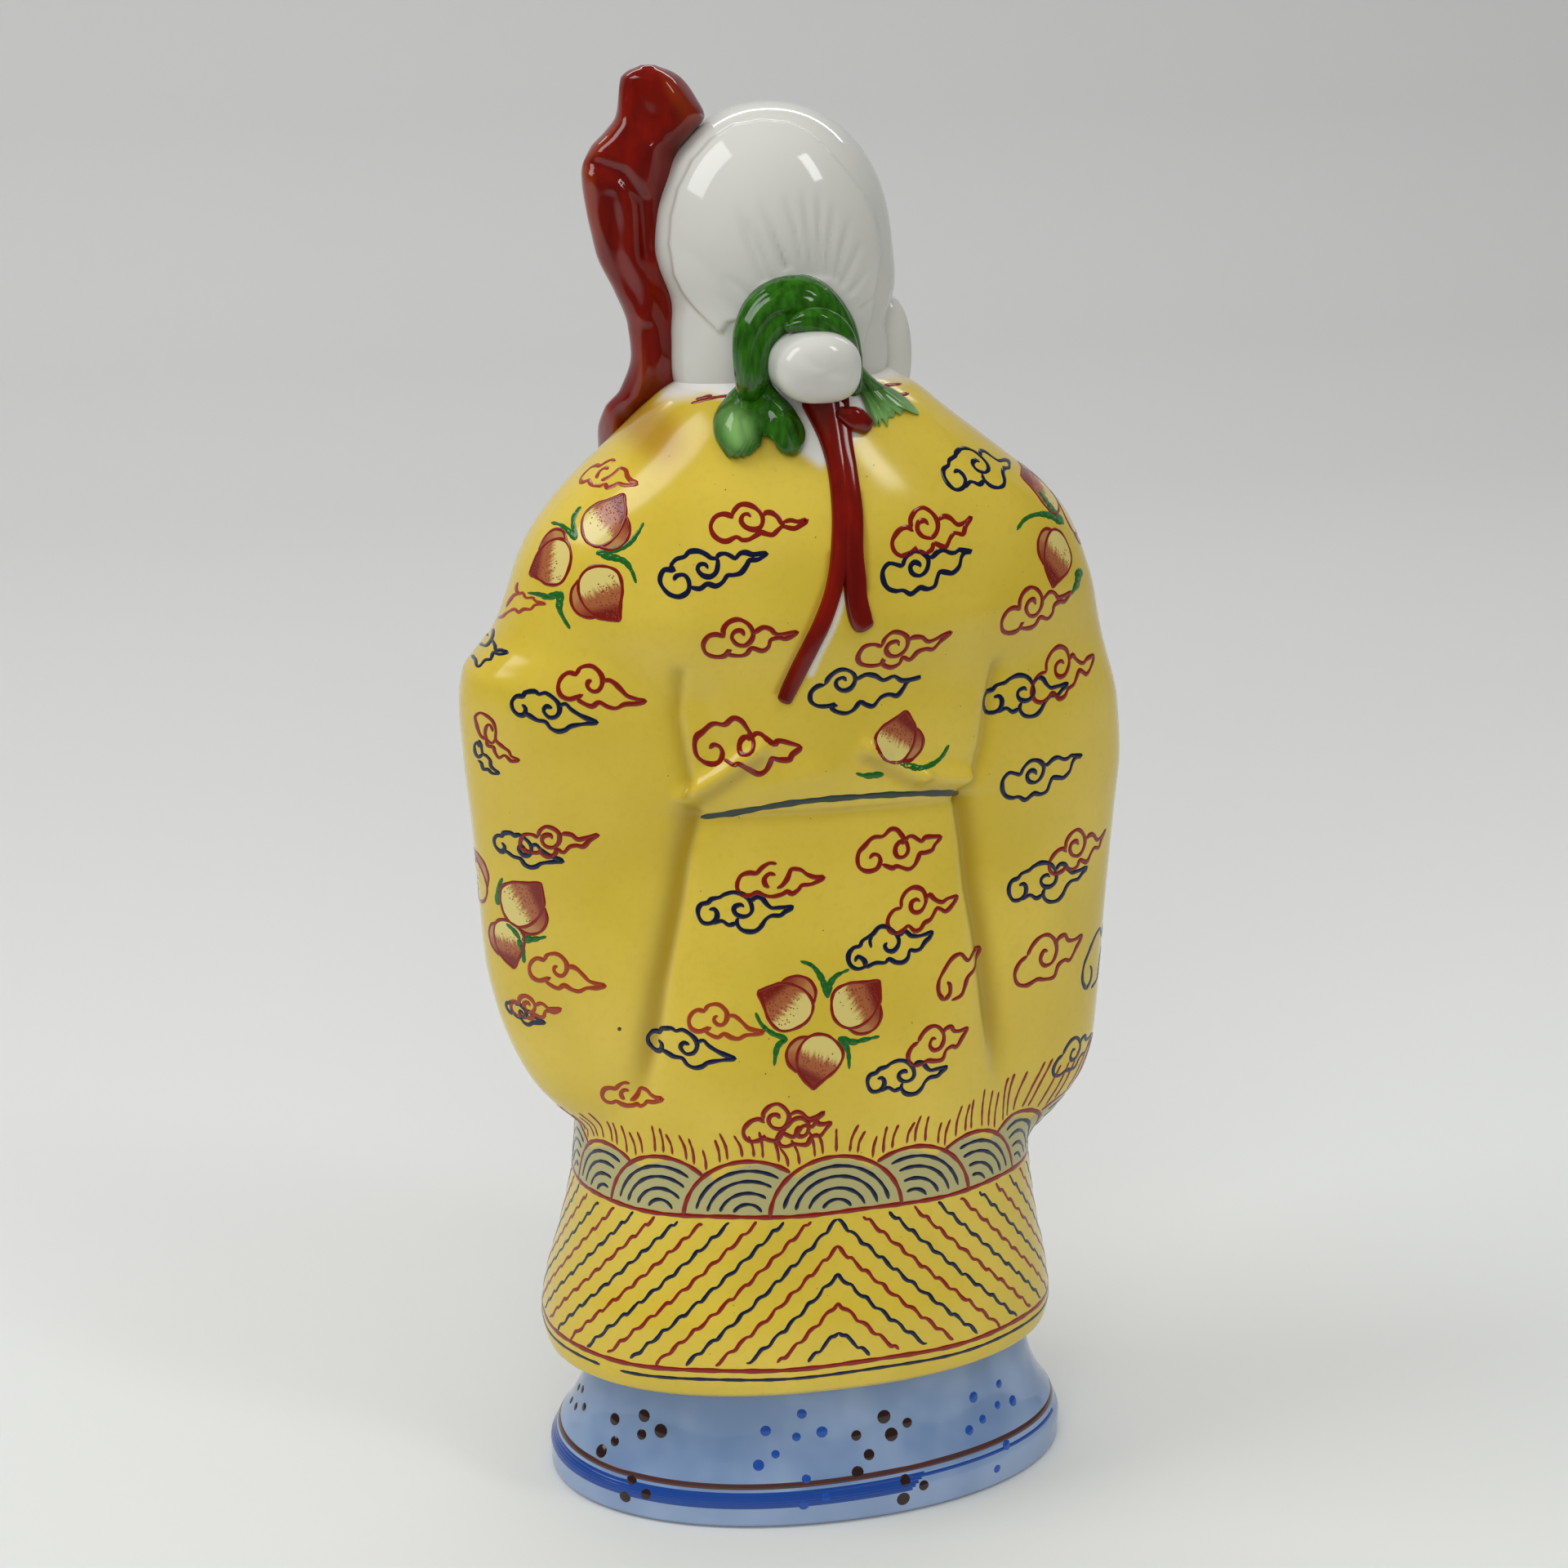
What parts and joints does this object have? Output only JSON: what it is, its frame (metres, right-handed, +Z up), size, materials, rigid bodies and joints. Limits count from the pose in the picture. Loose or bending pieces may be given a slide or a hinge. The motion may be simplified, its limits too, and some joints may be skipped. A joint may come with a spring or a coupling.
{
  "type": "porcelain shoulao figure",
  "caption": "Standing glazed porcelain longevity figure with a tall domed head, wide-sleeved robe, gnarled staff and peach, on a flared foot.",
  "frame": {"origin": "centre of the flat underside of the foot, on the surface it stands on", "axes": "+Z up, +Y out of the figure's back, +X towards its left hand and staff"},
  "size_m": [0.0931, 0.0609, 0.2],
  "materials": {
    "glazed_porcelain": "slip-cast porcelain under a glossy glaze, yellow robe with painted clouds, peaches and wave hem, white head, red-brown staff, pale blue under-robe"
  },
  "bodies": {
    "root": {"shoulao_figure": "glazed_porcelain"}
  },
  "joints": []
}
